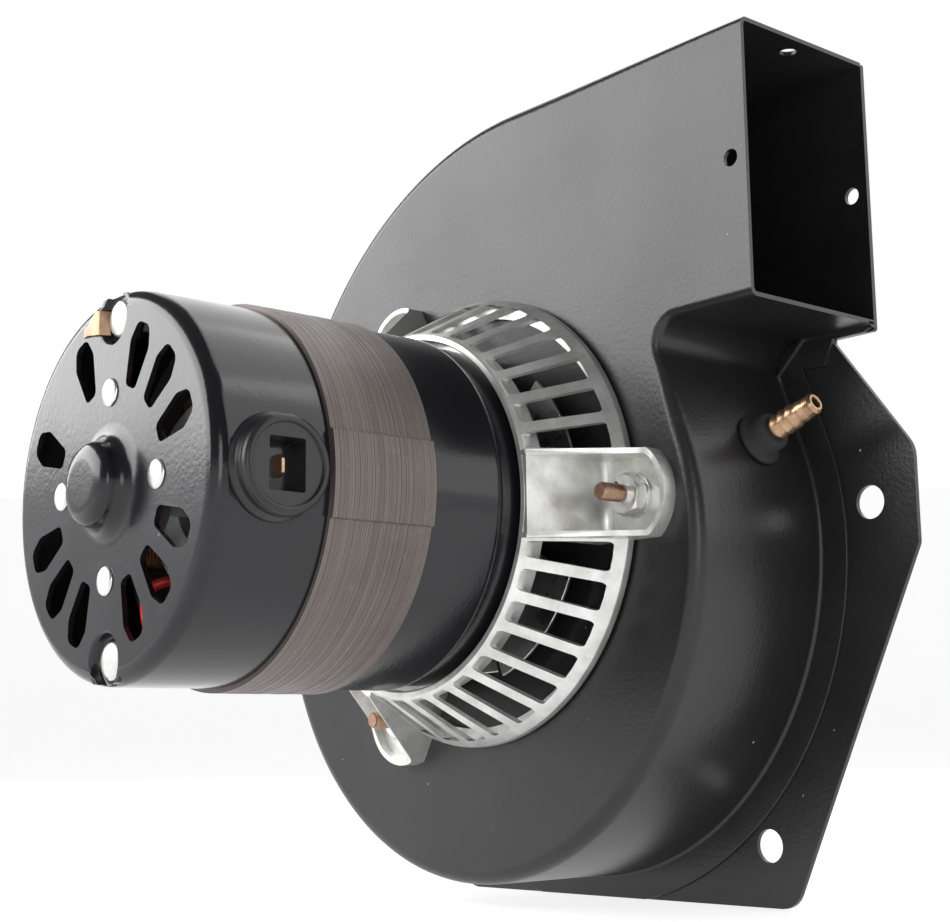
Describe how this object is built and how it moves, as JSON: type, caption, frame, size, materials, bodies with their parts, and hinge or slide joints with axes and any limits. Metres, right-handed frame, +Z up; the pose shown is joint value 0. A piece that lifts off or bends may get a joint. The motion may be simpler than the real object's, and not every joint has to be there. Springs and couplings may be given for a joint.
{
  "type": "draft inducer blower",
  "caption": "Furnace combustion fan: a sheet-steel scroll on a mounting plate, driven through a slotted ring by a round vented motor.",
  "frame": {"origin": "on the shaft's axis, in the plane of the mounting plate's back face, at the centre of the inlet hole", "axes": "+X towards the outlet, +Z up, -Y along the shaft from the plate to the motor's front face"},
  "size_m": [0.201, 0.1539, 0.2058],
  "materials": {
    "black_paint": "semi-gloss black coating over drawn sheet steel",
    "motor_black": "glossy black enamel",
    "zinc_ring": "bright zinc, satin",
    "zinc_fastener": "bright zinc-plated steel",
    "copper_stud": "copper-washed steel thread",
    "brass": "brass, dull",
    "black_rubber": "matt black rubber",
    "lamination": "stacked steel laminations, varnished and slightly rusted",
    "copper_wire": "enamelled copper winding",
    "liner": "slot liner film",
    "sintered": "oil-filled sintered bronze",
    "felt": "wool felt",
    "black_plastic": "moulded black plastic",
    "red_wire": "red wire insulation",
    "ground_steel": "ground steel",
    "cast_alloy": "cast aluminium",
    "fan_sheet": "stamped bright sheet",
    "wheel_steel": "galvanised sheet steel",
    "white_nylon": "nylon",
    "dark_screw": "black oxide steel"
  },
  "bodies": {
    "housing": {"scroll_housing": "black_paint", "mounting_plate": "black_paint", "hose_barb": "brass", "barb_grommet": "black_rubber", "mount_ring": "zinc_ring", "ring_studs": "copper_stud", "ring_washers": "zinc_fastener", "ring_nuts": "zinc_fastener", "rear_bell": "motor_black", "front_bell": "motor_black", "stator_core": "lamination", "stator_coils": "copper_wire", "shading_rings": "copper_stud", "slot_liners": "liner", "front_bearing": "sintered", "rear_bearing": "sintered", "front_retainer": "zinc_fastener", "rear_retainer": "zinc_fastener", "front_felt": "felt", "rear_felt": "felt", "retainer_rivets": "zinc_fastener", "rear_rivets": "zinc_fastener", "through_bolts": "zinc_fastener", "bolt_nuts": "zinc_fastener", "ground_clip": "brass", "power_receptacle": "black_plastic", "contact_blades": "brass", "lead_wires": "red_wire"},
    "rotor": {"rotor_shaft": "ground_steel", "rotor_core": "lamination", "rotor_end_rings": "cast_alloy", "thrust_washers": "white_nylon", "cooling_fan": "fan_sheet", "fan_hub": "cast_alloy", "wheel_backplate": "wheel_steel", "wheel_blades": "wheel_steel", "wheel_rim": "wheel_steel", "wheel_hub": "zinc_fastener", "hub_rivets": "zinc_fastener", "set_screw": "dark_screw"}
  },
  "joints": [
    {"name": "rotor_spin", "type": "hinge", "parent": "housing", "child": "rotor", "pos_m": [0, 0, 0], "axis": [0, -1, 0], "continuous": true}
  ]
}
